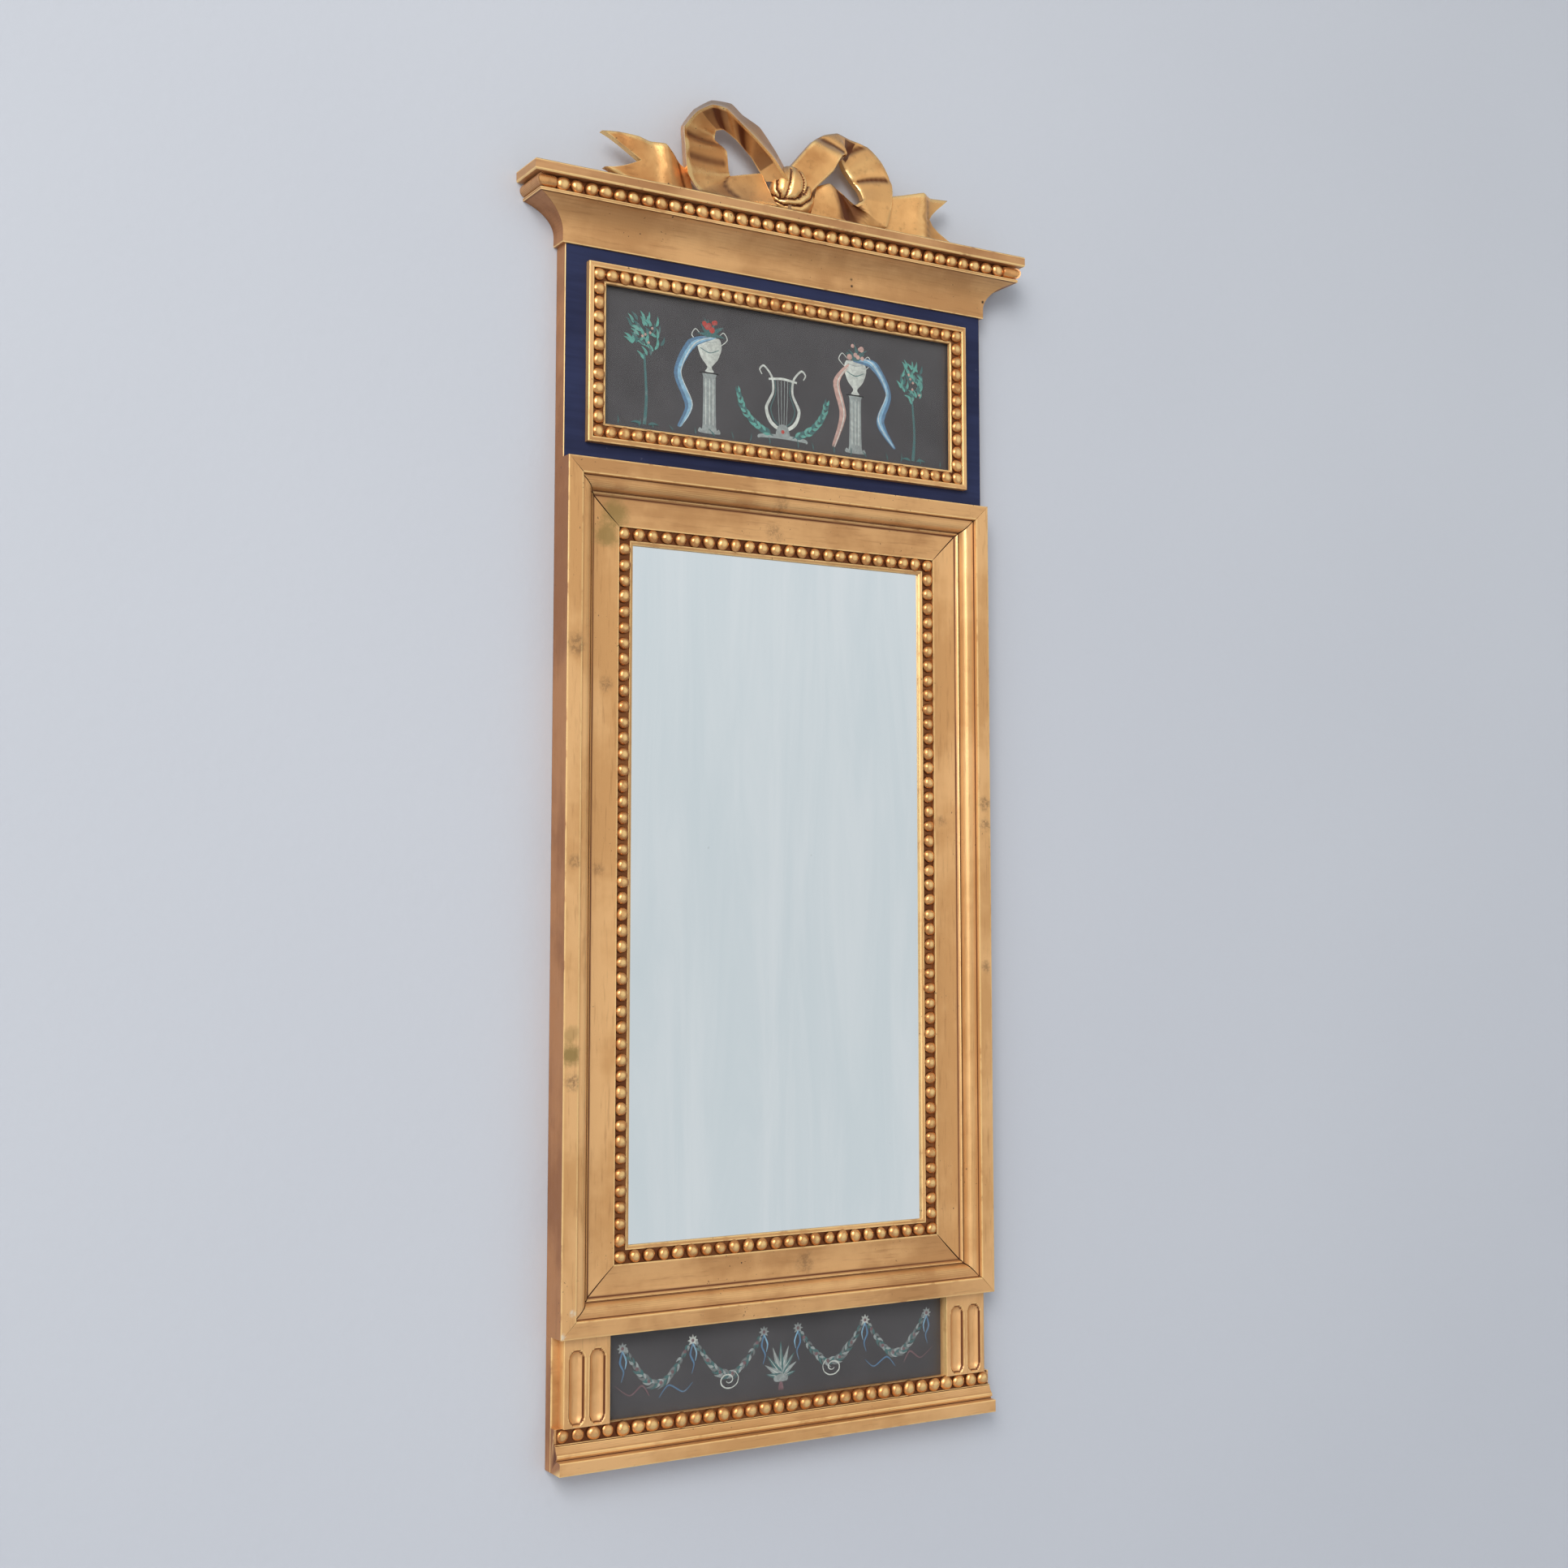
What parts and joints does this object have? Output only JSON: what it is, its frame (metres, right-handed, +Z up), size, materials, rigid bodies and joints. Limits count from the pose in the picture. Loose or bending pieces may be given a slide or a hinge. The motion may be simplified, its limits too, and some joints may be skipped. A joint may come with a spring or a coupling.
{
  "type": "trumeau mirror",
  "caption": "Tall narrow gilded wall mirror with a beaded frame, painted frieze and base panels, fluted blocks, an overhanging cornice and a carved ribbon bow on top.",
  "frame": {"origin": "on the wall plane, on the centre line, in the middle of the back of the mirror frame's top rail", "axes": "+X to the right as seen from the front, +Y into the wall, +Z up; the mirror faces -Y"},
  "size_m": [0.447, 0.035, 1.0293],
  "materials": {
    "gilt_wood": "satin",
    "bright_gilt": "satin",
    "bare_wood": "matte",
    "mirror": "polished",
    "pane": "polished",
    "blue_paint": "satin",
    "painted_panel": "satin",
    "iron": "matte"
  },
  "bodies": {
    "mirror": {"frame_top_rail": "gilt_wood", "frame_bottom_rail": "gilt_wood", "frame_left_stile": "gilt_wood", "frame_right_stile": "gilt_wood", "frame_pearls_top": "bright_gilt", "frame_pearls_bottom": "bright_gilt", "frame_pearls_left": "bright_gilt", "frame_pearls_right": "bright_gilt", "mirror_glass": "mirror", "mirror_backboard": "bare_wood", "backboard_brads": "iron", "frieze_board": "blue_paint", "frieze_glass": "pane", "frieze_picture": "painted_panel", "frieze_frame_top": "gilt_wood", "frieze_frame_bottom": "gilt_wood", "frieze_frame_left": "gilt_wood", "frieze_frame_right": "gilt_wood", "frieze_pearls_top": "bright_gilt", "frieze_pearls_bottom": "bright_gilt", "frieze_pearls_left": "bright_gilt", "frieze_pearls_right": "bright_gilt", "frieze_tongue": "bare_wood", "base_tongue": "bare_wood", "cornice_front": "gilt_wood", "cornice_return_left": "gilt_wood", "cornice_return_right": "gilt_wood", "cornice_top_board": "gilt_wood", "cornice_pearls": "bright_gilt", "base_board": "gilt_wood", "fluted_block_left": "gilt_wood", "fluted_block_right": "gilt_wood", "base_picture": "painted_panel", "base_glass": "pane", "base_moulding": "gilt_wood", "base_pearls": "bright_gilt", "hanger_strap_left": "iron", "hanger_strap_right": "iron", "hanger_nails": "iron", "bow_knot": "bright_gilt", "bow_loop_left": "bright_gilt", "bow_loop_right": "bright_gilt", "bow_tail_left": "bright_gilt", "bow_tail_right": "bright_gilt", "bow_pegs": "bare_wood"},
    "ring_left": {"hanger_ring_left": "iron"},
    "ring_right": {"hanger_ring_right": "iron"}
  },
  "joints": [
    {"name": "ring_left_swing", "type": "hinge", "parent": "mirror", "child": "ring_left", "pos_m": [-0.175, -0.0031, -0.087], "axis": [1, 0, 0], "range_deg": [0, 180]},
    {"name": "ring_right_swing", "type": "hinge", "parent": "mirror", "child": "ring_right", "pos_m": [0.175, -0.0031, -0.087], "axis": [1, 0, 0], "range_deg": [0, 180]}
  ]
}
